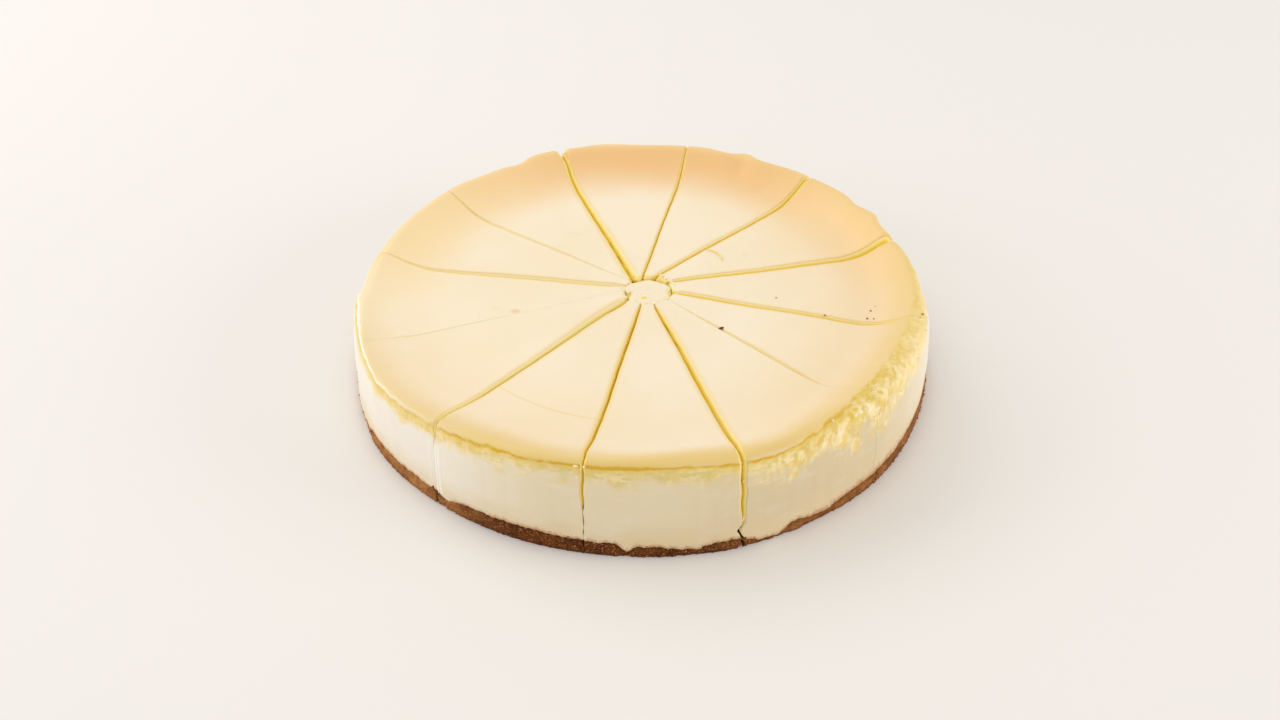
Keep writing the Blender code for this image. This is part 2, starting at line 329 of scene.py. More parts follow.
def buildNominal(outer, settings, name):
    # a section with a few rings of skin inside its outline, spun into a nominal slice
    section = bmesh.new()
    part = section.verts.layers.float.new("part")
    depth = section.verts.layers.float.new("depth")
    for radius, height in outer:
        section.verts.new((radius, 0, height))
    core = section.faces.new(section.verts)
    core.normal_update()
    below = 0.0
    for thickness in settings["rings"]:
        bmesh.ops.inset_region(section, faces=[core], thickness=thickness, use_boundary=True)
        below += thickness
        inner = set(core.verts)
        for vert in core.verts:
            vert[depth] = below
            outerVert = [edge.other_vert(vert) for edge in vert.link_edges if edge.other_vert(vert) not in inner][0]
            coreR, coreZ = settings["spine"](outerVert.co.x, outerVert.co.z)
            inwards = Vector((coreR - outerVert.co.x, 0, coreZ - outerVert.co.z))
            vert.co = outerVert.co + inwards.normalized() * thickness
    bmesh.ops.triangulate(section, faces=[core], ngon_method="EAR_CLIP")
    sectionSpots = []
    for number, vert in enumerate(section.verts):
        vert[part] = number
        sectionSpots.append((vert.co.x, vert.co.z))
    spinWedge(section, settings["columns"])
    mesh = bpy.data.meshes.new(name)
    section.to_mesh(mesh)
    section.free()
    return mesh, np.array(sectionSpots)


# the filling, one piece for each slice; its spine is the inner core from which its skin looks outwards
filling = {
    "columns": 170,
    "crowding": 0.62,                     # how far the columns crowd towards the cuts
    "rings": (0.35 * mm, 0.6 * mm, 0.9 * mm),
    "edgeRound": 0.4 * mm,
    "spine": lambda radius, height: (np.clip(radius, 13 * mm, 109 * mm), np.clip(height, 12 * mm, 27 * mm)),
}


def fillingSection():
    flat, lipR, lipZ = cake["flatHeight"], cake["lipRadius"], cake["lipHeight"]
    creaseR, creaseZ, wall = cake["creaseRadius"], cake["creaseHeight"], cake["wallRadius"]
    hubR, floor = cake["hubRadius"], baseTop + 0.02 * mm
    outer = stretch((hubR, floor), (hubR, flat - 1.2 * mm), 9)
    outer += [(hubR + 1.2 * mm * (1 - math.cos(a)), flat - 1.2 * mm * (1 - math.sin(a)))
              for a in (0, .25, .5, .75, 1, 1.25)]
    outer += stretch((hubR + 1.2 * mm, flat), (cake["dishRadius"], flat), 56)
    for i in range(38):
        part = i / 38
        rise = (lipZ - flat) * dishRise(part)
        outer.append((cake["dishRadius"] + (lipR - cake["dishRadius"]) * part, flat + rise))
    for i in range(24):
        turn = math.pi / 2 * i / 24
        outer.append((lipR + (creaseR - lipR) * math.sin(turn), creaseZ + (lipZ - creaseZ) * math.cos(turn)))
    outer += stretch((creaseR, creaseZ), (creaseR + 0.1 * mm, creaseZ - 0.5 * mm), 2)
    outer += stretch((creaseR + 0.1 * mm, creaseZ - 0.5 * mm), (wall - 0.5 * mm, 30 * mm), 32)
    outer += stretch((wall - 0.5 * mm, 30 * mm), (wall, 19 * mm), 28)
    outer += stretch((wall, 19 * mm), (wall, floor + 0.3 * mm), 28, True)
    outer += stretch((wall - 0.4 * mm, floor), (hubR + 4 * mm, floor), 8, True)
    return outer


def dressFilling(mesh, number, sectionSpots):
    part = np.rint(readFloat(mesh, "part")).astype(int)
    depth = readFloat(mesh, "depth")
    turn = readFloat(mesh, "turn")
    r0, z0 = sectionSpots[part, 0], sectionSpots[part, 1]
    turn = turn - filling["crowding"] * np.sin(2 * math.pi * turn) / (2 * math.pi)
    flat, lipR0, lipZ0, dish = cake["flatHeight"], cake["lipRadius"], cake["lipHeight"], cake["dishRadius"]
    creaseR0, creaseZ0, wall, hubR = cake["creaseRadius"], cake["creaseHeight"], cake["wallRadius"], cake["hubRadius"]

    share = (r0 - hubR) / (wall - hubR)
    start, end = cutDirection(number, share), cutDirection(number + 1, share)
    angle = start - turn * ((start - end) % 360)

    # from the nominal section to the lip, crease and seam at this angle
    lipR, lipZ, creaseZ = lipRadius(angle), lipHeight(angle), creaseHeight(angle)
    creaseR = np.maximum(lipR + 1.3 * mm, np.minimum(creaseR0, lipR + along(angle, cake["creaseGap"]) * mm))
    outside = r0 > lipR0
    onLip = outside & (z0 > creaseZ0)
    radius = np.where(
        outside & (z0 > creaseZ0 - 1 * mm),
        lipR + (r0 - lipR0) * (creaseR - lipR) / (creaseR0 - lipR0),
        np.where(r0 > dish, dish + (r0 - dish) * (lipR - dish) / (lipR0 - dish), r0),
    )
    onWall = outside & (z0 <= creaseZ0 - 1 * mm)
    blend = ease(z0, 24 * mm, creaseZ0)
    radius = np.where(onWall, r0 + (creaseR - creaseR0) * blend, radius)
    lift = (lipZ - flat) / (lipZ0 - flat)
    lipLift = (lipZ - creaseZ) / (lipZ0 - creaseZ0)
    seam = seamHeight(angle) + 0.02 * mm
    floor = baseTop + 0.02 * mm
    wallLift = np.where(
        z0 > 22 * mm,
        22 * mm + (z0 - 22 * mm) * (creaseZ - 22 * mm) / (creaseZ0 - 22 * mm),
        seam + (z0 - floor) * (22 * mm - seam) / (22 * mm - floor),
    )
    height = np.where(
        outside,
        np.where(z0 > creaseZ0, creaseZ + (z0 - creaseZ0) * lipLift, wallLift),
        np.where(z0 > flat, flat + (z0 - flat) * lift, z0),
    )
    nearSeam = (r0 > 110 * mm) & (z0 < floor + 0.2 * mm)
    height = np.where(nearSeam & ~outside, floor + (seam - floor) * ease(r0, 110 * mm, 117 * mm), height)
    atRing = r0 < hubR + 1.21 * mm
    opened = along(angle, cake["ringOpen"])
    wide = along(angle, cake["ringWide"]) * opened
    height = np.where(atRing & (z0 > flat - 1.21 * mm), flat - (flat - z0) * opened * (1 + 0.35 * wide), height)
    nearRing = 1 - ease(r0, hubR + 1.2 * mm, hubR + 9 * mm)
    radius = np.where(atRing, hubR + (r0 - hubR) * (1 + wide / 1.2), radius + wide * mm * nearRing)
    radius = radius + outline(angle) * ease(radius, dish, wall)
    side = ease(r0, 116.5 * mm, 119 * mm) * (1 - ease(height, creaseZ - 1 * mm, creaseZ + 2.5 * mm))
    ranDown = ease(5.2 * mm - seam, 0.5 * mm, 2.5 * mm)
    radius = radius + 0.4 * mm * ranDown * (1 - ease(height, 2 * mm, 8 * mm)) * ease(radius, 116 * mm, 119 * mm)

    # the way the skin looks at each point, from the core outwards
    coreR, coreZ = filling["spine"](r0, z0)
    outR, outZ = r0 - coreR, z0 - coreZ
    size = np.maximum(np.hypot(outR, outZ), 1e-6)
    outR, outZ = outR / size, outZ / size

    # open the cuts, and round their edges
    share = (radius - hubR) / (wall - hubR)
    start, end = cutDirection(number, share), cutDirection(number + 1, share)
    gapStart, gapEnd = (cutWidth(cut, radius, height, side) for cut in (number, number + 1))
    openStart = cutOpening(number, gapStart, depth, height)
    openEnd = cutOpening(number + 1, gapEnd, depth, height)
    atStart = np.degrees((cutWander(number, radius, height, side) - gapStart * openStart / 2) / radius)
    atEnd = np.degrees((cutWander(number + 1, radius, height, side) + gapEnd * openEnd / 2) / radius)
    sweep = np.maximum((start - end) % 360 + atStart - atEnd, np.degrees(0.3 * mm / radius))
    start = start + atStart
    angle = start - turn * sweep
    toStart = turn * np.radians(sweep) * radius
    toEnd = (1 - turn) * np.radians(sweep) * radius
    drop = 0
    for away, gap, cut in ((toStart, gapStart, number), (toEnd, gapEnd, number + 1)):
        notch = cuts[cut % len(cuts)]["notch"] * mm * ease(radius, 104 * mm, 112 * mm) * (1 - side)
        rounding = np.maximum(np.clip(gap * 0.4, 0, filling["edgeRound"]), notch) + 1e-9
        inside = np.clip(rounding - away, 0, rounding)
        drop = drop + rounding - np.sqrt(rounding * rounding - inside * inside)

    # how far each point lies past the edge of the baked skin, and the torn band from there
    spots = np.stack((np.cos(np.radians(angle)) * radius, np.sin(np.radians(angle)) * radius, height), axis=1)
    overLip = np.arccos(np.clip((z0 - creaseZ0) / (lipZ0 - creaseZ0), 0, 1)) / (math.pi / 2) * cake["lipArc"]
    arc = np.where(onLip, overLip, np.where(outside, cake["lipArc"] + creaseZ - height, r0 - lipR0))
    band, crumbly = along(angle, cake["tornBand"]) * mm, along(angle, cake["crumbly"])
    waver = (0.2 + 0.4 * crumbly) * roughMid(angle) + (0.12 + 0.2 * crumbly) * roughSmall(angle)
    past = arc - (along(angle, cake["skinEdge"]) + waver) * mm
    busy = (past > -1.5 * mm) & (past < band * 1.5) & (r0 > 100 * mm) & (z0 > 8 * mm)
    broad, streaks, fine, lumps = np.zeros((4, len(spots)))
    broad[busy] = noiseAt(spots[busy], 8 * mm, 2.0)
    flatStreaks, steepStreaks = (noiseAt(spots[busy] * stretched, 3.6 * mm, 6.0) for stretched in ((0.8, 0.8, 2.3), (1.7, 1.7, 0.6)))
    streaks[busy] = flatStreaks + (steepStreaks - flatStreaks) * crumbly[busy]
    fine[busy] = noiseAt(spots[busy] * (1, 1, 1.35), 2.1 * mm, 9.0) + 0.5 * noiseAt(spots[busy], 1.0 * mm, 3.0)
    lumps[busy] = noiseAt(spots[busy] * (1, 1, 1.2), 2.3 * mm, 5.0) + 0.35 * noiseAt(spots[busy], 1.1 * mm, 8.0)
    fading = past + band * (0.25 * broad + 0.16 * streaks + 0.08 * fine)
    torn = ease(past, -0.3 * mm, 0.9 * mm) * (1 - ease(fading, band * 0.2, band * 1.1))
    nearEdge = np.exp(-((np.clip(past, 0, 1) / (4.5 * mm)) ** 2))
    dimples = ease(streaks + 0.3 * fine, -0.15, 0.6)
    patchy = 0.65 * nearEdge * ease(broad + 0.6 * streaks, -0.8, 0.4) + 0.6 * ease(streaks + 0.15 * fine + 0.3 * broad, 0.0, 0.7)
    pits = torn * ((1 - crumbly) * dimples + crumbly * patchy) * np.clip(0.3 + 1.4 * along(angle, cake["goldEdge"]), 0, 1)
    crumbs = torn * (0.15 + 0.6 * crumbly) * ease(lumps - 0.3 * fine, 0.35, 1.1) * ease(past, 1.0 * mm, 4.0 * mm)
    goldWidth = (0.95 + 0.35 * roughLarge(angle + 9) + 0.2 * roughMid(angle + 70)) * mm
    goldWidth = np.maximum(goldWidth, 0.4 * mm)
    gold = np.exp(-(((past - 0.4 * mm) / goldWidth) ** 2)) * along(angle, cake["goldEdge"]) * (depth == 0)
    halo = np.exp(-(((past - 0.9 * mm) / (2.8 * goldWidth)) ** 2)) * (0.5 + 0.5 * along(angle, cake["goldEdge"])) * (depth == 0)

    relief = 0.10 * mm * noiseAt(spots, 22 * mm) * (1 - side)
    relief = relief - torn * (0.12 + 0.18 * crumbly) * mm - (0.10 + 0.12 * crumbly) * mm * pits + 0.12 * mm * crumbs
    relief = relief + (0.06 * lumps + 0.2 * broad) * mm * torn * crumbly - 0.2 * mm * gold
    scrape = 0.012 * roughTiny(angle) + 0.08 * roughMid(angle) + 0.18 * roughLarge(angle + 200)
    relief = relief + scrape * mm * side * ease(z0, 6 * mm, 9 * mm) - drop
    radius, height = radius + outR * relief, height + outZ * relief
    mesh.vertices.foreach_set("co", keepInBox(placeRound(angle, radius, height)).astype(np.float32).ravel())
    mesh.update()

    # what the paint needs to know
    # the yellow of the cuts and the ring round the hub is partly a painted glow of light through the translucent
    # filling
    ringDeep = 0.38 * opened * ease(hubR + 1.1 * mm - r0, 0, 0.8 * mm)
    towardStart = ease(toEnd - toStart, -1 * mm, 1 * mm)
    shadeStart, shadeEnd = (cuts[cut % len(cuts)].get("shade", 1) for cut in (number, number + 1))
    inCut = (1 - openStart) * shadeStart * towardStart + (1 - openEnd) * shadeEnd * (1 - towardStart)
    inCut = np.where(depth > 0, inCut, 0)
    smearCut = 8
    toSmear = np.where(number == smearCut, toStart, np.where(number + 1 == smearCut, toEnd, 1.0))
    smear = np.exp(-((toSmear / (3.2 * mm)) ** 2)) * side * ease(roughTiny(angle * 1.6), 0.1, 0.7) * (1 - ease(height, 27 * mm, 31 * mm))
    beside = 0
    for away, gap in ((toStart, gapStart), (toEnd, gapEnd)):
        beside = np.maximum(beside, np.exp(-((away / (0.3 * mm + 0.25 * gap)) ** 2)) * ease(gap, 0.4 * mm, 2.2 * mm))
    beside = beside * (1 - side) * (depth == 0) * ease(radius, 11 * mm, 15 * mm)
    # a thin white line along the lip on the left: a painted highlight
    leftLipHighlight = np.exp(-(((past + 1.3 * mm) / (0.8 * mm)) ** 2)) * bump(angle, 200, 22) * outside
    writeFloat(mesh, "cut", np.maximum(inCut, ringDeep))
    writeFloat(mesh, "torn", torn * (0.5 + 0.5 * crumbly))
    writeFloat(mesh, "pits", np.clip(pits, 0, 1))
    writeFloat(mesh, "crumbs", np.clip(crumbs, 0, 1))
    writeFloat(mesh, "gold", np.clip(gold, 0, 1))
    writeFloat(mesh, "halo", np.clip(halo, 0, 1))
    writeFloat(mesh, "beside", beside)
    writeFloat(mesh, "side", side)
    writeFloat(mesh, "rim", ease(past, -17 * mm, -3 * mm) * along(angle, cake["rimTan"]) * (1 - side))
    # pale: the smear down one cut, and the painted highlight along the left lip
    writeFloat(mesh, "pale", np.clip(smear * 0.8 + leftLipHighlight, 0, 1))
    writeFloat(mesh, "aboveSeam", np.where(outside, (height - seam) / mm / along(angle, cake["stain"]), 30))
    shown = depth == 0
    return {
        "crumbly": placeRound(angle, radius, height)[shown & (torn * crumbly > 0.45)],
        "seam": placeRound(angle, radius, height)[shown & outside & (height < seam + 1.2 * mm)],
    }


# the crumb base, one piece for each slice
base = {
    "columns": 170,
    "crowding": 0.5,
    "rings": (0.5 * mm,),
    "wallRadius": 120.5 * mm,
    "grain": 0.42 * mm,
    "spine": lambda radius, height: (np.clip(radius, 14 * mm, 116 * mm), np.clip(height, 2.4 * mm, 2.6 * mm)),
}


def baseSection():
    hubR, wall = cake["hubRadius"], base["wallRadius"]
    outer = stretch((hubR, 0), (hubR, baseTop), 4)
    outer += stretch((hubR, baseTop), (112 * mm, baseTop), 14)
    outer += stretch((112 * mm, baseTop), (wall - 0.3 * mm, baseTop), 12)
    outer += stretch((wall, baseTop - 0.3 * mm), (wall, 0.3 * mm), 16, True)
    outer += stretch((wall - 0.3 * mm, 0), (hubR + 6 * mm, 0), 10, True)
    return outer


def dressBase(mesh, number, sectionSpots):
    part = np.rint(readFloat(mesh, "part")).astype(int)
    turn = readFloat(mesh, "turn")
    r0, z0 = sectionSpots[part, 0], sectionSpots[part, 1]
    turn = turn - base["crowding"] * np.sin(2 * math.pi * turn) / (2 * math.pi)
    wall, hubR = cake["wallRadius"], cake["hubRadius"]
    share = (r0 - hubR) / (wall - hubR)
    side = ease(r0, 116 * mm, 119 * mm)
    gapStart, gapEnd = (np.maximum(cutWidth(cut, r0, z0, side), 0.1 * mm) for cut in (number, number + 1))
    start = cutDirection(number, share) + np.degrees((cutWander(number, r0, z0, side) - gapStart / 2) / r0)
    end = cutDirection(number + 1, share) + np.degrees((cutWander(number + 1, r0, z0, side) + gapEnd / 2) / r0)
    angle = start - turn * ((start - end) % 360)

    seam = seamHeight(angle)
    lifted = baseTop + (seam - baseTop) * ease(r0, 110 * mm, 117 * mm)
    height = z0 * lifted / baseTop
    spots = np.stack((np.cos(np.radians(angle)) * r0, np.sin(np.radians(angle)) * r0, height), axis=1)
    rough = (r0 > 115 * mm) & (z0 > 0.01 * mm)
    grain = np.zeros(len(spots))
    grain[rough] = noiseAt(spots[rough], 1.5 * mm, 9.0) * 0.4 + noiseAt(spots[rough], 0.7 * mm, 3.0) * 0.35
    ranDown = ease(5.2 * mm - seam, 0.5 * mm, 2.5 * mm)
    radius = r0 + outline(angle) * side + (base["grain"] * grain - 0.5 * mm * ranDown) * side
    spots = placeRound(angle, radius, height)
    mesh.vertices.foreach_set("co", keepInBox(spots).astype(np.float32).ravel())
    mesh.update()
    return spots[(side > 0.9) & (z0 > 0.6 * mm)]


class Wire:
    # a socket that sums can be written with
    def __init__(self, paint, socket):
        self.paint, self.socket = paint, socket

    def sum(self, operation, *values):
        return self.paint.node("ShaderNodeMath", {"operation": operation}, dict(enumerate(values)))

    def __add__(self, other):
        return self.sum("ADD", self, other)

    def __radd__(self, other):
        return self.sum("ADD", other, self)

    def __sub__(self, other):
        return self.sum("SUBTRACT", self, other)

    def __rsub__(self, other):
        return self.sum("SUBTRACT", other, self)

    def __mul__(self, other):
        return self.sum("MULTIPLY", self, other)

    def __rmul__(self, other):
        return self.sum("MULTIPLY", other, self)

    def __truediv__(self, other):
        return self.sum("DIVIDE", self, other)

    def __pow__(self, other):
        return self.sum("POWER", self, other)


class Paint:
    # a material and its nodes
    def __init__(self, name):
        self.material = bpy.data.materials.new(name)
        self.material.use_nodes = True
        self.tree = self.material.node_tree
        self.shader = self.tree.nodes["Principled BSDF"]

    def node(self, kind, settings=None, values=None, output=0):
        made = self.tree.nodes.new(kind)
        for name, value in (settings or {}).items():
            setattr(made, name, value)
        self.fill(made, values or {})
        return Wire(self, made.outputs[output])

    def fill(self, made, values):
        for name, value in values.items():
            if isinstance(value, Wire):
                self.tree.links.new(value.socket, made.inputs[name])
            else:
                made.inputs[name].default_value = value

    def attribute(self, name):
        return self.node("ShaderNodeAttribute", {"attribute_name": name}, output="Fac")

    def place(self):
        return self.node("ShaderNodeTexCoord", output="Object")

    def axes(self, vector):
        return [self.node("ShaderNodeSeparateXYZ", {}, {"Vector": vector}, axis) for axis in "XYZ"]

    def stretched(self, vector, scale):
        return self.node("ShaderNodeMapping", {}, {"Vector": vector, "Scale": scale})

    def noise(self, vector, size, detail=4.0, roughness=0.55):
        values = {"Vector": vector, "Scale": 1 / size, "Detail": detail, "Roughness": roughness}
        return self.node("ShaderNodeTexNoise", {}, values, "Fac")

    def ease(self, value, low, high):
        values = {"Value": value, "From Min": low, "From Max": high}
        return self.node("ShaderNodeMapRange", {"interpolation_type": "SMOOTHSTEP"}, values)

    def band(self, value, low, high, soft):
        return self.ease(value, low - soft, low) * self.ease(value, high + soft, high)

    def near(self, vector, spot, reach):
        # 1 at a spot, falling to 0 at its reach; reach gives the size along each axis
        apart = self.node("ShaderNodeVectorMath", {"operation": "SUBTRACT"}, {0: vector, 1: spot})
        scaled = self.node("ShaderNodeVectorMath", {"operation": "DIVIDE"}, {0: apart, 1: reach})
        length = self.node("ShaderNodeVectorMath", {"operation": "LENGTH"}, {0: scaled}, "Value")
        return self.ease(length, 1.0, 0.25)

    def mix(self, factor, first, second, blend="MIX"):
        settings = {"data_type": "RGBA", "blend_type": blend}
        return self.node("ShaderNodeMix", settings, {0: factor, 6: first, 7: second}, 2)

    def finish(self, values):
        self.fill(self.shader, values)
        return self.material


def colour(red, green, blue):
    # a colour as seen on a screen, 0 to 255, made linear
    return tuple(c / 12.92 if c <= 0.04045 else ((c + 0.055) / 1.055) ** 2.4
                 for c in (red / 255, green / 255, blue / 255)) + (1.0,)


creamLook = {
    "top": colour(248, 230, 198),
    "topPatch": colour(250, 234, 206),
    "topRightShade": colour(247, 219, 173),
    "frontLeft": colour(246, 221, 180),
    "backTanAndShade": colour(239, 188, 120),
    "backPeach": colour(249, 211, 152),
    "leftRim": colour(252, 223, 170),
    "rimTan": colour(233, 201, 124),
    "side": colour(244, 237, 226),
    # the side darker at the front, the right and the bottom: painted shade
    "sideFrontShaded": colour(234, 218, 184),
    "sideRightShaded": colour(216, 197, 160),
    "sideLowShaded": colour(228, 206, 164),
    "tornYellow": colour(231, 200, 108),
    "tornPale": colour(249, 229, 178),
    "tornPeach": colour(250, 226, 172),
    "tornWhite": colour(250, 238, 204),
    "pitGold": colour(223, 187, 68),
    "dimple": colour(221, 205, 128),
    "edgeGold": colour(219, 174, 46),
    "haloGold": colour(234, 204, 112),
    "cutPale": colour(248, 232, 164),
    "cutGold": colour(246, 212, 86),
    "paleSmearAndHighlight": colour(254, 250, 238),
    "crumbStain": colour(188, 130, 82),
    "smudge": colour(238, 190, 136),
    # soft marks on the top: where, how far they reach and how strong they are
    "marks": (
        ((-0.052, -0.012, 0.034), (0.0030, 0.0022, 0.01), 0.60), ((-0.060, -0.010, 0.034), (0.0040, 0.0014, 0.01), 0.16),
        ((0.052, 0.083, 0.036), (0.0085, 0.0050, 0.02), 0.22), ((0.029, -0.105, 0.038), (0.0022, 0.0012, 0.01), 0.25),
        ((-0.004, -0.1165, 0.041), (0.0018, 0.0030, 0.004), 0.35), ((0.068, -0.010, 0.034), (0.0040, 0.0016, 0.01), 0.12),
        ((-0.030, 0.046, 0.034), (0.0075, 0.0030, 0.01), 0.10), ((0.045, 0.030, 0.034), (0.0022, 0.0030, 0.01), 0.14),
    ),
}


def creamPaint():
    paint = Paint("baked_cream")
    place = paint.place()
    x, y, z = paint.axes(place)
    radius = (x * x + y * y) ** 0.5
    cut, torn, pits = paint.attribute("cut"), paint.attribute("torn"), paint.attribute("pits")
    crumbs, gold, side = paint.attribute("crumbs"), paint.attribute("gold"), paint.attribute("side")

    # the baked skin, tanned on the slope up to the rim at the back and towards its torn edge in front; the tan on the
    # back slope is partly painted shade
    patches = paint.ease(paint.noise(place, 45 * mm, 2.0), 0.35, 0.65)
    tone = paint.mix(patches, creamLook["top"], creamLook["topPatch"])
    across = x / (radius + 0.001)
    away = y / (radius + 0.001)
    outer = paint.ease(radius, 0.045, 0.105)
    # darker, tanner towards the right of the outer top: painted shade
    tone = paint.mix(outer * paint.ease(across, -0.1, 0.9) * 0.8, tone, creamLook["topRightShade"])
    frontLeft = outer * paint.ease(away, 0.0, -0.6) * paint.ease(across, 0.3, -0.4)
    tone = paint.mix(frontLeft * 0.5, tone, creamLook["frontLeft"])
    drift = (paint.noise(place, 30 * mm, 2.0) - 0.5) * 0.012
    # the slope up to the back rim, tan-orange: partly browned skin and partly painted shade where it faces away from
    # the light
    slope = paint.ease(radius + drift, 0.074, 0.106)
    slopeTone = paint.mix(paint.ease(across, -0.55, -0.95), creamLook["backPeach"], creamLook["leftRim"])
    deepTanAndShade = paint.ease(away + across * 0.12, 0.70, 0.98) * paint.ease(radius, 0.114, 0.108)
    slopeTone = paint.mix(deepTanAndShade * 0.85, slopeTone, creamLook["backTanAndShade"])
    tone = paint.mix(slope * paint.ease(away, -0.35, 0.35) * 0.9, tone, slopeTone)
    tone = paint.mix(paint.attribute("rim") * 0.95, tone, creamLook["rimTan"])
    for spot, reach, strength in creamLook["marks"]:
        tone = paint.mix(paint.near(place, spot, reach) * strength, tone, creamLook["smudge"])
    # a faint darker line along a crease across the front of the top: painted shadow of the crease
    creaseShadowLine = paint.band(radius + away * 0.004, 0.0795, 0.0797, 0.0007) * paint.band(across, -0.62, -0.22, 0.12)
    tone = paint.mix(creaseShadowLine * paint.ease(away, -0.6, -0.8) * 0.35, tone, creamLook["rimTan"])

    # the side, smoother and paler than the top; darker towards the front, the right and the bottom, and lighter again
    # on the left, as painted shade and light
    streaks = paint.noise(paint.stretched(place, (1, 1, 3)), 14 * mm, 3.0)
    wallTone = paint.mix(paint.ease(away, 0.1, -0.75), creamLook["side"], creamLook["sideFrontShaded"])
    wallTone = paint.mix(paint.ease(across, 0.0, 0.45) * paint.ease(across, 1.0, 0.7) * 0.9, wallTone, creamLook["sideRightShaded"])
    wallTone = paint.mix(paint.ease(across, -0.25, -0.7) * 0.8, wallTone, creamLook["side"])
    wallTone = paint.mix(paint.ease(z + (streaks - 0.5) * 0.014, 0.018, 0.004) * 0.7, wallTone, creamLook["sideLowShaded"])
    wallTone = paint.mix(paint.ease(streaks, 0.5, 0.72) * 0.15, wallTone, creamLook["side"])
    above = paint.attribute("aboveSeam")
    stain = paint.ease(above + (paint.noise(place, 3.5 * mm, 5.0) - 0.5) * 1.6, 1.1, -0.2)
    flecks = paint.ease(paint.noise(place, 0.9 * mm, 3.0), 0.50, 0.62) * paint.ease(above, 1.6, 0.3)
    wallTone = paint.mix(stain * 0.9, wallTone, creamLook["crumbStain"])
    wallTone = paint.mix(flecks * 0.55, wallTone, creamLook["crumbStain"])
    tone = paint.mix(side, tone, wallTone)

    # the torn band, its golden edge, and the cuts
    fine = paint.noise(place, 5 * mm, 4.0, 0.55)
    softer = paint.ease(across, 0.72, 0.96) + paint.ease(across, -0.35, -0.65)
    tornTone = paint.mix(paint.ease(fine, 0.32, 0.66), creamLook["tornYellow"], creamLook["tornPale"])
    tornTone = paint.mix(paint.ease(crumbs, 0.15, 0.7) * 0.8, tornTone, creamLook["tornWhite"])
    tornTone = paint.mix(softer * 0.6, tornTone, creamLook["tornPeach"])
    tone = paint.mix(paint.ease(torn, 0.0, 0.85), tone, tornTone)
    pitTone = paint.mix(paint.ease(away, -0.80, -0.94), creamLook["pitGold"], creamLook["dimple"])
    tone = paint.mix(paint.ease(pits, 0.1, 0.8) * (0.9 - softer * 0.45), tone, pitTone)
    # soft gold on the top beside the wider cuts: part of the same painted glow
    tone = paint.mix(paint.attribute("beside") * 0.4, tone, creamLook["haloGold"])
    tone = paint.mix(paint.attribute("halo") * 0.75, tone, creamLook["haloGold"])
    goldSpread = gold * (0.45 + paint.ease(paint.noise(place, 9 * mm, 4.0), 0.35, 0.6) * 0.6)
    tone = paint.mix(paint.ease(goldSpread, 0.12, 0.85), tone, creamLook["edgeGold"])
    # the pale smear down one cut, and the painted highlight along the left lip
    tone = paint.mix(paint.attribute("pale"), tone, creamLook["paleSmearAndHighlight"])
    # the cuts and the ring round the hub in yellow: the filling's own colour inside, partly a painted glow of light
    # through the translucent filling
    cutYellowAndGlow = paint.mix(paint.ease(cut, 0.15, 0.75), creamLook["cutPale"], creamLook["cutGold"])
    tone = paint.mix(paint.ease(cut, 0.02, 0.30), tone, cutYellowAndGlow)

    grain = paint.noise(place, 0.9 * mm, 5.0, 0.6)
    coarse = paint.noise(place, 4 * mm, 3.0)
    rough = 0.45 + torn * 0.2 + side * 0.1 + (coarse - 0.5) * 0.12
    height = grain * (0.08 + torn * 0.6 + side * 0.15) + coarse * 0.2
    bumps = paint.node("ShaderNodeBump", {}, {"Strength": 0.35, "Distance": 0.0003, "Height": height})
    return paint.finish({
        "Base Color": tone, "Roughness": rough, "Normal": bumps,
        "Subsurface Weight": 0.2, "Subsurface Radius": (1.0, 0.7, 0.4), "Subsurface Scale": 0.0015,
        "Specular IOR Level": 0.3,
    })


crumbLook = {
    "dark": colour(80, 38, 12),
    "mid": colour(114, 62, 16),
    "light": colour(186, 126, 70),
}


def crumbPaint():
    paint = Paint("crumb_base")
    place = paint.place()
    x, y, z = paint.axes(place)
    # lighter on the left and right of the crust, darker at the front: painted light and shade
    litSides = paint.ease(x, 0.01, 0.07) + paint.ease(x, -0.05, -0.09) * 1.7
    patches = paint.noise(place, 6 * mm, 3.0) * 0.5 + paint.noise(place, 1.6 * mm, 4.0, 0.65) * 0.5
    tone = paint.mix(paint.ease(patches, 0.38, 0.62), crumbLook["dark"], crumbLook["mid"])
    tone = paint.mix(paint.ease(paint.noise(place, 0.7 * mm, 3.0), 0.56, 0.68), tone, crumbLook["light"])
    uneven = 0.4 + paint.ease(paint.noise(place, 7 * mm, 3.0), 0.35, 0.6) * 0.6
    tone = paint.mix(litSides * uneven * 0.66, tone, crumbLook["light"])
    # darker towards the bottom by the floor: painted shade
    tone = paint.mix(paint.ease(z, 0.0022, 0.0) * 0.45, tone, crumbLook["dark"])
    height = paint.noise(place, 0.8 * mm, 6.0, 0.7)
    bumps = paint.node("ShaderNodeBump", {}, {"Strength": 0.8, "Distance": 0.0005, "Height": height})
    return paint.finish({"Base Color": tone, "Roughness": 0.85, "Normal": bumps, "Specular IOR Level": 0.2})


def lumpPaint(name, first, second, size, roughness=0.6):
    # small loose bits in two tones
    paint = Paint(name)
    place = paint.place()
    tone = paint.mix(paint.ease(paint.noise(place, size, 3.0), 0.4, 0.6), first, second)
    bumps = paint.node("ShaderNodeBump", {}, {"Strength": 0.5, "Distance": 0.0002, "Height": paint.noise(place, size / 3, 4.0)})
    return paint.finish({"Base Color": tone, "Roughness": roughness, "Normal": bumps, "Specular IOR Level": 0.25})


def addPiece(name, mesh, material, nodes=()):
    mesh.materials.clear()
    mesh.materials.append(material)
    piece = bpy.data.objects.new(name, mesh)
    bpy.context.scene.collection.objects.link(piece)
    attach(piece, "root")
    if nodes:
        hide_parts(*nodes)
    return piece


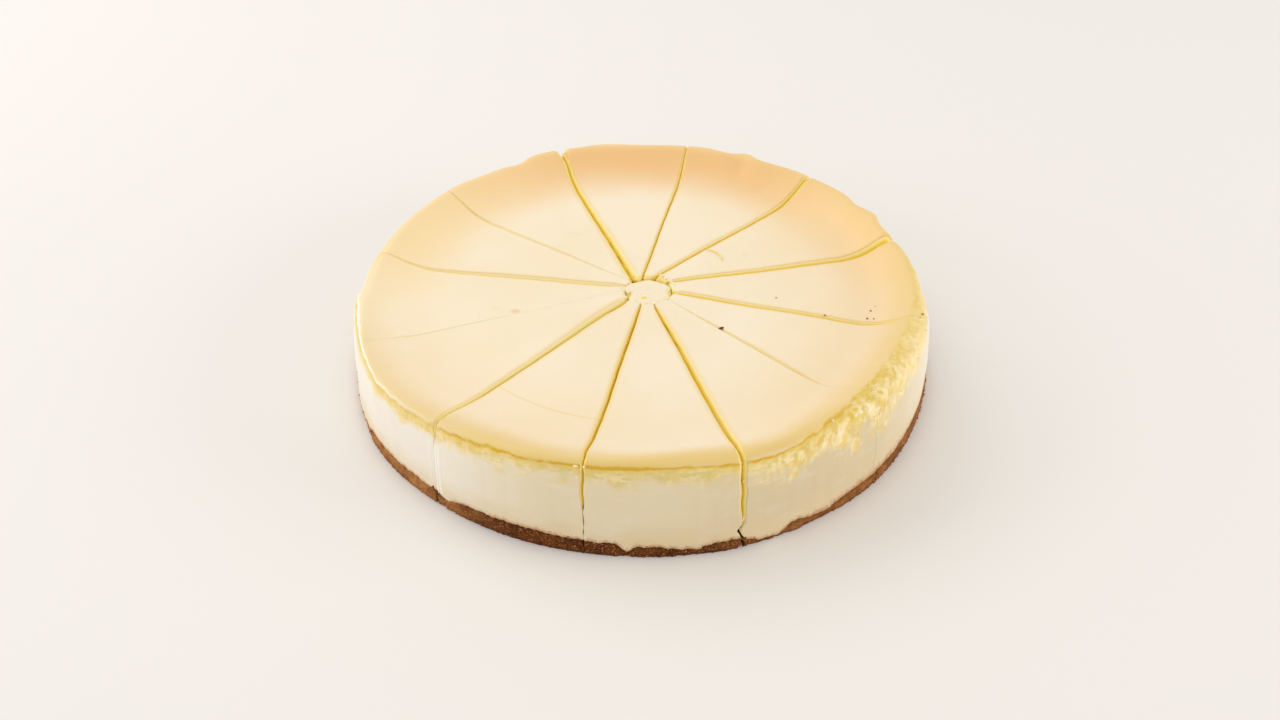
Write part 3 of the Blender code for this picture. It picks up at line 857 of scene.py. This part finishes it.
cream, crumb = creamPaint(), crumbPaint()
nominalFilling, fillingSpots = buildNominal(fillingSection(), filling, "nominal_filling")
nominalBase, baseSpots = buildNominal(baseSection(), base, "nominal_base")
print("nominal slices:", len(nominalFilling.vertices), "and", len(nominalBase.vertices), "points")
found = {"crumbly": [], "seam": [], "crust": []}
for number in range(len(cuts)):
    fillingMesh, baseMesh = nominalFilling.copy(), nominalBase.copy()
    places = dressFilling(fillingMesh, number, fillingSpots)
    found["crumbly"].append(places["crumbly"])
    found["seam"].append(places["seam"])
    found["crust"].append(dressBase(baseMesh, number, baseSpots))
    addPiece(f"filling_{number + 1:02d}", fillingMesh, cream, [f"filling_slice_{number + 1:02d}"])
    addPiece(f"crust_{number + 1:02d}", baseMesh, crumb, [f"base_slice_{number + 1:02d}"])
bpy.data.meshes.remove(nominalFilling)
bpy.data.meshes.remove(nominalBase)
found = {kind: np.concatenate(spots) for kind, spots in found.items()}
print("slices done;", {kind: len(spots) for kind, spots in found.items()}, "places for crumbs")

# the plug left standing at the hub; where the ring round it is closed, its rim is still joined to the slices
plug = {
    "sides": 120,
    "radius": 9.66 * mm,
    "topRadius": 8.1 * mm,
    "joinedRadius": 10.9 * mm,
    "lump": 0.36 * mm,
}


def buildPlug(name, low, high, openRing):
    section = bmesh.new()
    bend, wall = high - 2.2 * mm, plug["radius"]
    profile = stretch((0, low), (wall, low), 4) + stretch((wall, low), (wall, bend), 6)
    profile += stretch((wall, bend), (wall, high - 0.2 * mm), 9) + stretch((wall, high), (0, high), 20, True)
    chain = [section.verts.new((radius, 0, height)) for radius, height in profile]
    for first, second in zip(chain, chain[1:]):
        section.edges.new((first, second))
    bmesh.ops.spin(section, geom=section.verts[:] + section.edges[:], cent=(0, 0, 0), axis=(0, 0, 1),
                   angle=2 * math.pi, steps=plug["sides"], use_merge=True)
    bmesh.ops.remove_doubles(section, verts=section.verts, dist=1e-6)
    bmesh.ops.recalc_face_normals(section, faces=section.faces)
    mesh = bpy.data.meshes.new(name)
    section.to_mesh(mesh)
    section.free()
    spots = np.zeros(len(mesh.vertices) * 3, np.float32)
    mesh.vertices.foreach_get("co", spots)
    spots = spots.reshape(-1, 3).astype(float)
    angle = np.degrees(np.arctan2(spots[:, 1], spots[:, 0]))
    reach, height = np.hypot(spots[:, 0], spots[:, 1]) / wall, spots[:, 2]
    opened = along(angle, cake["ringOpen"]) * openRing
    atTop = ease(height, bend, high)
    rim = plug["topRadius"] * opened + plug["joinedRadius"] * (1 - opened)
    lump = noiseAt(spots, 3.2 * mm, 4.0) * 0.6 + noiseAt(spots, 1.3 * mm, 7.0) * 0.4
    grown = wall + (rim - wall) * atTop * openRing + lump * plug["lump"] * atTop * openRing
    radius = reach * grown
    joined = 0.16 * mm * (1 - 1.7 * ease(reach, 0.78, 1.0))
    sunk = 0.9 * mm * ease(reach, 0.75, 1.0) * atTop * opened - joined * atTop * (1 - opened)
    height = height + (lump * plug["lump"] * 0.7 * (1 - 0.8 * ease(reach, 0.85, 1) * (1 - opened)) - sunk) * atTop * openRing
    spots = np.stack((hub[0] + np.cos(np.radians(angle)) * radius, hub[1] + np.sin(np.radians(angle)) * radius, height), 1)
    mesh.vertices.foreach_set("co", keepInBox(spots).astype(np.float32).ravel())
    mesh.shade_smooth()
    for attribute in ("torn", "pits", "crumbs", "gold", "halo", "beside", "side", "rim", "pale"):
        writeFloat(mesh, attribute, np.zeros(len(spots)))
    writeFloat(mesh, "aboveSeam", np.full(len(spots), 30.0))
    pitX, pitY = radius * np.cos(np.radians(angle)) + 1.9 * mm, radius * np.sin(np.radians(angle)) + 6.2 * mm
    pit = (1 - ease(np.hypot(pitX / 1.7, pitY / 1.2), 0.5 * mm, 1.0 * mm)) * openRing * (spots[:, 2] > bend)
    # yellow in the open ring and in a pit on the plug, partly a painted glow as in the cuts
    writeFloat(mesh, "cut", np.maximum(0.45 * opened * ease(reach, 0.86, 1.0), 0.8 * pit))
    return mesh


plugMesh = buildPlug("plug_filling", plugLow.z, cake["flatHeight"] - 0.1 * mm, 1.0)
addPiece("plug_filling", plugMesh, cream, ["filling_plug"])
addPiece("plug_crust", buildPlug("plug_crust", basePlugLow.z, basePlugHigh.z, 0.0), crumb, ["base_plug"])
print("plug done")

# small bits: stuck crust crumbs, pale crumbs in the torn band, tatters round the hub, and specks on the top
bits = {
    "seed": 4295,
    "crustCrumbs": 420,
    "crustSize": (0.22, 0.62),
    "paleCrumbs": 260,
    "paleSize": (0.18, 0.55),
    # round the hub: angle, radius, height over the top, and the size outwards, sideways and upwards
    "tatters": (
        (34, 11.2, 0.55, 1.0, 1.9, 0.8), (20, 11.4, 0.3, 0.8, 1.3, 0.5), (48, 11.4, 0.35, 0.8, 1.1, 0.55),
        (-40, 9.6, 0.15, 1.3, 1.5, 0.3), (-75, 9.6, 0.15, 1.2, 1.8, 0.3), (-100, 10.2, 0.12, 0.9, 1.4, 0.25),
        (158, 10.8, 0.35, 1.3, 0.9, 0.55), (172, 11.0, 0.3, 1.1, 0.8, 0.5), (150, 9.9, 0.15, 0.9, 0.5, 0.35),
        (-128, 9.8, 0.15, 1.0, 1.2, 0.3), (-170, 8.6, 0.3, 0.9, 1.2, 0.4), (62, 11.9, 0.2, 0.6, 1.2, 0.4),
    ),
    # white flakes and bridges on the cuts down the front: angle, height, size outwards, sideways and upwards
    "flakes": (
        (-101.5, 40.4, 0.5, 1.0, 0.35), (-100.0, 40.6, 0.4, 0.6, 0.3), (-101.2, 36.6, 0.3, 0.35, 0.4),
        (-100.7, 22.6, 0.4, 0.45, 0.5), (-70.9, 33.5, 0.3, 0.35, 0.5), (-72.2, 31.6, 0.3, 0.3, 0.3),
        (-71.9, 12.8, 0.45, 0.5, 1.5), (-71.5, 16.0, 0.4, 0.45, 0.7),
    ),
    # dark crumbs dragged up into the foot of one cut, in the same way
    "cutFoot": (
        (-72.4, 9.6, 0.35, 0.42, 0.4), (-71.9, 7.6, 0.3, 0.35, 0.35), (-70.9, 6.2, 0.4, 0.5, 0.6),
        (-71.2, 4.6, 0.35, 0.45, 0.5), (-131.6, 6.9, 0.3, 0.45, 0.5), (-130.8, 5.6, 0.3, 0.4, 0.3),
    ),
    # on the top: x, y, and the size along x, y and z
    "darkCrumbs": ((32.5, -23.9, 1.05, 0.65, 0.45), (31.6, -24.3, 0.5, 0.35, 0.3)),
    "specks": (
        (92, -18, 0.55, 0.5, 0.25), (94, -13, 0.42, 0.42, 0.25), (94.5, -19, 0.32, 0.38, 0.2), (75, -15, 0.5, 0.42, 0.25),
        (112.8, -25, 0.45, 0.6, 0.28), (96, -10.5, 0.22, 0.2, 0.14), (56, -2.5, 0.4, 0.3, 0.15),
    ),
}


def topHeight(x, y):
    # the height of the top at a place on it
    radius, angle = math.hypot(x, y), math.degrees(math.atan2(y, x))
    lipR, lipZ = lipRadius(angle), lipHeight(angle)
    part = np.clip((radius - cake["dishRadius"]) / (lipR - cake["dishRadius"]), 0, 1)
    over = np.clip((radius - lipR) / (along(angle, cake["creaseGap"]) * mm), 0, 1)
    fall = (lipZ - creaseHeight(angle)) * (1 - np.sqrt(1 - over ** 2))
    return cake["flatHeight"] + (lipZ - cake["flatHeight"]) * dishRise(part) - fall


def lumpyBits(name, rows, material):
    # rows of place, size along each axis and turn; every bit is one ball, dented and turned
    firstBall = bmesh.new()
    bmesh.ops.create_icosphere(firstBall, subdivisions=2, radius=1.0)
    ball = bpy.data.meshes.new(name + "_ball")
    firstBall.to_mesh(ball)
    firstBall.free()
    flat = np.zeros(len(ball.vertices) * 3, np.float32)
    ball.vertices.foreach_get("co", flat)
    unit = flat.reshape(-1, 3).astype(float)
    bunch = bmesh.new()
    for spot, size, turn in rows:
        dents = 1 + 0.28 * noiseAt(unit, 0.9, float(turn) + 10 * float(spot[0]))[:, None]
        turned = np.array(Matrix.Rotation(turn, 3, "Z"))
        dented = (unit * dents * size) @ turned.T + np.array(spot)
        ball.vertices.foreach_set("co", keepInBox(dented).astype(np.float32).ravel())
        bunch.from_mesh(ball)
    bpy.data.meshes.remove(ball)
    mesh = bpy.data.meshes.new(name)
    bunch.to_mesh(mesh)
    bunch.free()
    mesh.shade_smooth()
    return addPiece(name, mesh, material)


def chooseRows(spots, count, sizes, chance):
    rows = []
    for spot in spots[chance.choice(len(spots), min(count, len(spots)), replace=False)]:
        size = (sizes[0] + (sizes[1] - sizes[0]) * chance.random() ** 2.2) * mm
        squash = 0.6 + 0.4 * chance.random(3)
        rows.append((spot, tuple(size * squash), chance.random() * 6.28))
    return rows


chance = np.random.default_rng(bits["seed"])
lightCrumb = lumpPaint("loose_crust_crumb", crumbLook["mid"], crumbLook["light"], 0.8 * mm, 0.85)
paleCrumb = lumpPaint("pale_crumb", creamLook["tornPale"], creamLook["tornWhite"], 1.2 * mm)
darkCrumb = lumpPaint("dark_crumb", colour(96, 34, 16), colour(140, 66, 34), 0.8 * mm, 0.5)
speckTone = lumpPaint("brown_speck", colour(146, 98, 40), colour(186, 142, 66), 0.5 * mm)
crustRows = chooseRows(found["crust"], bits["crustCrumbs"], bits["crustSize"], chance)
crustRows += chooseRows(found["seam"], bits["crustCrumbs"] // 3, bits["crustSize"], chance)
lumpyBits("crust_crumbs", crustRows, lightCrumb)
lumpyBits("pale_crumbs", chooseRows(found["crumbly"], bits["paleCrumbs"], bits["paleSize"], chance), paleCrumb)
tatters = []
for angle, radius, over, outwards, sideways, upwards in bits["tatters"]:
    rad = math.radians(angle)
    spot = (hub[0] + math.cos(rad) * radius * mm, hub[1] + math.sin(rad) * radius * mm,
            cake["flatHeight"] + (over - upwards * 0.6) * mm)
    tatters.append((spot, (outwards * mm, sideways * mm, upwards * mm), rad))
lumpyBits("hub_tatters", tatters, paleCrumb)
flakes = []
for angle, height, outwards, sideways, upwards in bits["flakes"]:
    reach = (118.1 if height > 39 else 119.4) * mm
    spot = placeRound(np.array([angle]), np.array([reach]), np.array([height * mm]))[0]
    flakes.append((spot, (outwards * mm, sideways * mm, upwards * mm), math.radians(angle)))
lumpyBits("flakes", flakes, paleCrumb)
cutFoot = []
for angle, height, outwards, sideways, upwards in bits["cutFoot"]:
    spot = placeRound(np.array([angle]), np.array([119.7 * mm]), np.array([height * mm]))[0]
    cutFoot.append((spot, (outwards * mm, sideways * mm, upwards * mm), math.radians(angle)))
lumpyBits("cut_foot_crumbs", cutFoot, darkCrumb)
for name, rows, material in (("dark_crumbs", bits["darkCrumbs"], darkCrumb), ("specks", bits["specks"], speckTone)):
    placed = [((x * mm, y * mm, topHeight(x * mm, y * mm)), (a * mm, b * mm, c * mm), 0.4) for x, y, a, b, c in rows]
    lumpyBits(name, placed, material)
print("small bits done")

# a thin curl of filling that the knife left beside one cut
curl = {"spot": (26.6, 25.2), "bend": 8.2 * mm, "thick": 0.55 * mm, "from": 76, "sweep": -78}


def buildCurl():
    shaving = bmesh.new()
    start = math.radians(curl["from"])
    x, y = curl["spot"][0] * mm, curl["spot"][1] * mm
    centre = Vector((x, y, topHeight(x, y) + curl["thick"] * 0.3))
    ringPlace = Matrix.Translation(centre + Vector((math.cos(start), math.sin(start), 0)) * curl["bend"])
    ringTurn = Matrix.Rotation(start, 4, "Z") @ Matrix.Rotation(math.pi / 2, 4, "X")
    bmesh.ops.create_circle(shaving, cap_ends=True, segments=12, radius=curl["thick"], matrix=ringPlace @ ringTurn)
    bmesh.ops.spin(shaving, geom=shaving.faces[:], cent=centre, axis=(0, 0, 1),
                   angle=math.radians(curl["sweep"]), steps=24)
    bmesh.ops.recalc_face_normals(shaving, faces=shaving.faces)
    for vert in shaving.verts:
        turn = math.degrees(math.atan2(vert.co.y - centre.y, vert.co.x - centre.x))
        share = (curl["from"] - turn) / -curl["sweep"]
        slim = 1 - 0.55 * abs(2 * share - 0.7) ** 1.5
        middle = centre + (vert.co - centre).normalized() * curl["bend"]
        middle.z = centre.z
        vert.co = middle + (vert.co - middle) * max(slim, 0.3) * (1 + 0.5 * noise.noise(vert.co / (0.9 * mm)))
    mesh = bpy.data.meshes.new("curl")
    shaving.to_mesh(mesh)
    shaving.free()
    mesh.shade_smooth()
    return mesh


curlTone = lumpPaint("yellow_curl", colour(240, 212, 130), colour(246, 226, 160), 1.5 * mm)
addPiece("curl", buildCurl(), curlTone)
print("curl done")

stage = {
    "floorColour": colour(240, 236, 231),
    "floorSize": 6.0,
    "eye": (0.0, -0.5164, 0.3948),
    "lens": 42.4,
    "shift": (-0.00133, -0.00117),
    "worldLight": 0.76,
    # name, place, size across, power and tint of each lamp
    "lamps": (
        ("window", (-0.9, 0.7, 1.1), 1.2, 5.4, (1.0, 0.975, 0.93)),
        ("leftPanel", (-1.5, -0.1, 0.5), 1.0, 5.5, (0.97, 0.985, 1.0)),
        ("rightPanel", (1.5, -0.3, 0.45), 1.0, 7.8, (1.0, 0.985, 0.95)),
    ),
}

floorMesh = bpy.data.meshes.new("floor")
floorShape = bmesh.new()
bmesh.ops.create_grid(floorShape, x_segments=1, y_segments=1, size=stage["floorSize"] / 2)
floorShape.to_mesh(floorMesh)
floorShape.free()
floor = bpy.data.objects.new("floor", floorMesh)
floorMesh.materials.append(Paint("floor_paper").finish({"Base Color": stage["floorColour"], "Roughness": 0.9}))
bpy.context.scene.collection.objects.link(floor)

for name, place, size, power, tint in stage["lamps"]:
    lamp = bpy.data.lights.new(name, "AREA")
    lamp.shape, lamp.size, lamp.energy, lamp.color = "DISK", size, power, tint
    holder = bpy.data.objects.new(name, lamp)
    holder.location = place
    holder.rotation_euler = (-Vector(place)).to_track_quat("-Z", "Y").to_euler()
    bpy.context.scene.collection.objects.link(holder)

world = bpy.data.worlds.new("studio")
world.use_nodes = True
world.node_tree.nodes["Background"].inputs["Color"].default_value = (1.0, 0.99, 0.975, 1)
world.node_tree.nodes["Background"].inputs["Strength"].default_value = stage["worldLight"]
bpy.context.scene.world = world
bpy.context.scene.view_settings.view_transform = "Standard"

eye = bpy.data.cameras.new("eye")
eye.lens, eye.sensor_width, eye.clip_start = stage["lens"], 36, 0.01
eye.shift_x, eye.shift_y = stage["shift"]
camera = bpy.data.objects.new("eye", eye)
camera.location = stage["eye"]
camera.rotation_euler = (-Vector(stage["eye"])).to_track_quat("-Z", "Y").to_euler()
bpy.context.scene.collection.objects.link(camera)
bpy.context.scene.camera = camera
print("stage done")
